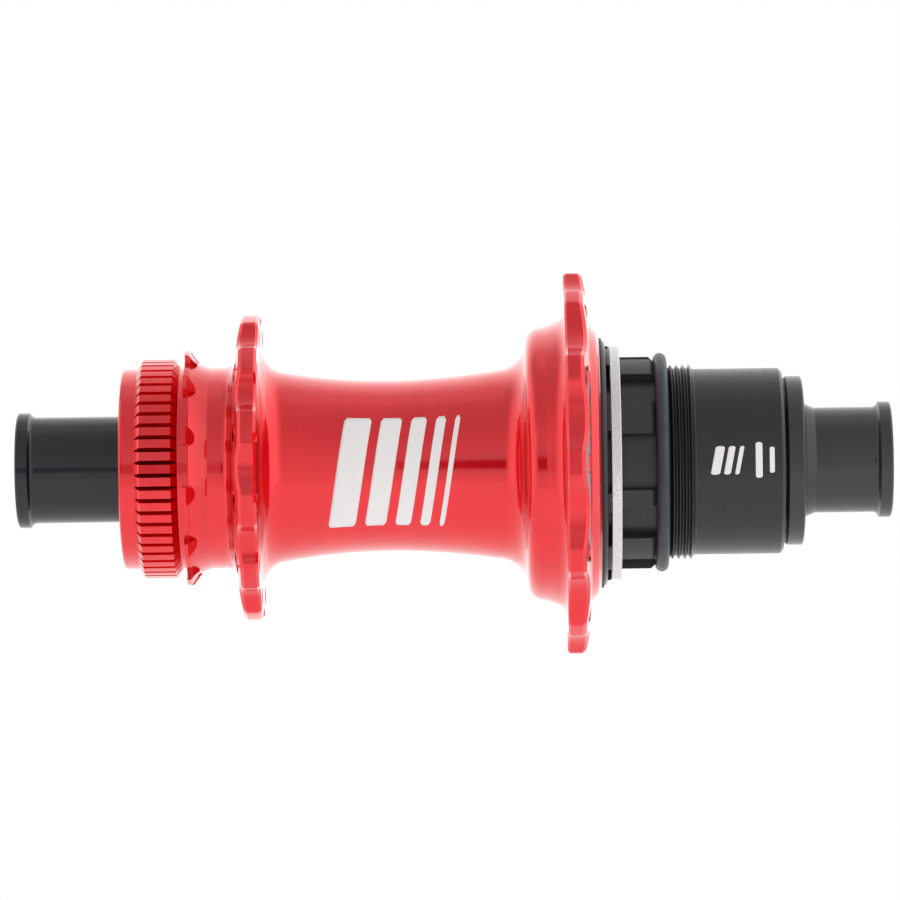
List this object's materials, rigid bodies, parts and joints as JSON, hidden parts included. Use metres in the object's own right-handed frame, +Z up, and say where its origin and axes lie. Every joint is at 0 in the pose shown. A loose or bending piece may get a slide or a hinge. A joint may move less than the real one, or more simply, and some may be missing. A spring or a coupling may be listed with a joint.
{
  "type": "bicycle rear hub",
  "caption": "Rear disc-brake thru-axle hub: scalloped spoke flanges, waisted shell, splined disc seat, and a freewheeling cassette driver with pawls",
  "frame": {"origin": "on the axle line, midway between the two dropout faces", "axes": "+Y along the axle towards the disc side, +Z up, +X the way the bicycle rides"},
  "size_m": [0.062, 0.142, 0.062],
  "materials": {
    "red_anodised": "polished and anodised red",
    "black_anodised": "satin black anodised",
    "gloss_black_cap": "bright black anodised",
    "raw_aluminium": "bead blasted",
    "bearing_steel": "ground and polished",
    "ratchet_steel": "hardened, satin",
    "cage_plastic": "moulded",
    "black_rubber": "moulded seal",
    "grey_rubber": "smooth o-ring"
  },
  "bodies": {
    "axle": {"axle_tube": "raw_aluminium", "end_cap_disc_side": "gloss_black_cap", "end_cap_drive_side": "black_anodised", "cap_o_ring_disc_side": "grey_rubber", "cap_o_ring_drive_side": "grey_rubber", "sleeve_shell_to_driver": "black_anodised", "sleeve_in_driver": "black_anodised", "disc_bearing_inner_race": "bearing_steel", "drive_bearing_inner_race": "bearing_steel", "driver_inner_bearing_inner_race": "bearing_steel", "driver_outer_bearing_inner_race": "bearing_steel"},
    "shell": {"hub_shell": "red_anodised", "drive_ring": "ratchet_steel", "disc_bearing_outer_race": "bearing_steel", "disc_bearing_seals": "black_rubber", "drive_bearing_outer_race": "bearing_steel", "drive_bearing_seals": "black_rubber"},
    "driver": {"driver_body": "black_anodised", "driver_seal": "black_rubber", "cassette_spacer_ring": "raw_aluminium", "cassette_o_ring": "grey_rubber", "pawl_leaf_springs": "ratchet_steel", "driver_inner_bearing_outer_race": "bearing_steel", "driver_inner_bearing_seals": "black_rubber", "driver_outer_bearing_outer_race": "bearing_steel", "driver_outer_bearing_seals": "black_rubber"},
    "pawl_1": {"pawl_1": "ratchet_steel"},
    "pawl_2": {"pawl_2": "ratchet_steel"},
    "pawl_3": {"pawl_3": "ratchet_steel"},
    "pawl_4": {"pawl_4": "ratchet_steel"},
    "pawl_5": {"pawl_5": "ratchet_steel"},
    "disc_bearing_set": {"disc_bearing_balls": "bearing_steel", "disc_bearing_cage": "cage_plastic"},
    "drive_bearing_set": {"drive_bearing_balls": "bearing_steel", "drive_bearing_cage": "cage_plastic"},
    "driver_inner_bearing_set": {"driver_inner_bearing_balls": "bearing_steel", "driver_inner_bearing_cage": "cage_plastic"},
    "driver_outer_bearing_set": {"driver_outer_bearing_balls": "bearing_steel", "driver_outer_bearing_cage": "cage_plastic"}
  },
  "joints": [
    {"name": "shell_spin", "type": "hinge", "parent": "axle", "child": "shell", "pos_m": [0, 0, 0], "axis": [0, 1, 0], "continuous": true},
    {"name": "driver_spin", "type": "hinge", "parent": "axle", "child": "driver", "pos_m": [0, -0.035, 0], "axis": [0, 1, 0], "continuous": true},
    {"name": "pawl_1_swing", "type": "hinge", "parent": "driver", "child": "pawl_1", "pos_m": [0.0147, -0.019, 0], "axis": [0, 1, 0], "range_deg": [0, 15], "stiffness_Nm_per_rad": 0.0004},
    {"name": "pawl_2_swing", "type": "hinge", "parent": "driver", "child": "pawl_2", "pos_m": [0.00454, -0.019, 0.01398], "axis": [0, 1, 0], "range_deg": [0, 15], "stiffness_Nm_per_rad": 0.0004},
    {"name": "pawl_3_swing", "type": "hinge", "parent": "driver", "child": "pawl_3", "pos_m": [-0.01189, -0.019, 0.00864], "axis": [0, 1, 0], "range_deg": [0, 15], "stiffness_Nm_per_rad": 0.0004},
    {"name": "pawl_4_swing", "type": "hinge", "parent": "driver", "child": "pawl_4", "pos_m": [-0.01189, -0.019, -0.00864], "axis": [0, 1, 0], "range_deg": [0, 15], "stiffness_Nm_per_rad": 0.0004},
    {"name": "pawl_5_swing", "type": "hinge", "parent": "driver", "child": "pawl_5", "pos_m": [0.00454, -0.019, -0.01398], "axis": [0, 1, 0], "range_deg": [0, 15], "stiffness_Nm_per_rad": 0.0004},
    {"name": "disc_bearing_cage_spin", "type": "hinge", "parent": "axle", "child": "disc_bearing_set", "pos_m": [0, 0.0445, 0], "axis": [0, 1, 0], "continuous": true},
    {"name": "drive_bearing_cage_spin", "type": "hinge", "parent": "axle", "child": "drive_bearing_set", "pos_m": [0, -0.0115, 0], "axis": [0, 1, 0], "continuous": true},
    {"name": "driver_inner_bearing_cage_spin", "type": "hinge", "parent": "axle", "child": "driver_inner_bearing_set", "pos_m": [0, -0.0279, 0], "axis": [0, 1, 0], "continuous": true},
    {"name": "driver_outer_bearing_cage_spin", "type": "hinge", "parent": "axle", "child": "driver_outer_bearing_set", "pos_m": [0, -0.0501, 0], "axis": [0, 1, 0], "continuous": true}
  ],
  "couplings": [
    {"joint": "pawl_2_swing", "follows": "pawl_1_swing", "ratio": 1},
    {"joint": "pawl_3_swing", "follows": "pawl_1_swing", "ratio": 1},
    {"joint": "pawl_4_swing", "follows": "pawl_1_swing", "ratio": 1},
    {"joint": "pawl_5_swing", "follows": "pawl_1_swing", "ratio": 1},
    {"joint": "disc_bearing_cage_spin", "follows": "shell_spin", "ratio": 0.59209},
    {"joint": "drive_bearing_cage_spin", "follows": "shell_spin", "ratio": 0.59209},
    {"joint": "driver_inner_bearing_cage_spin", "follows": "driver_spin", "ratio": 0.56103},
    {"joint": "driver_outer_bearing_cage_spin", "follows": "driver_spin", "ratio": 0.56103}
  ]
}
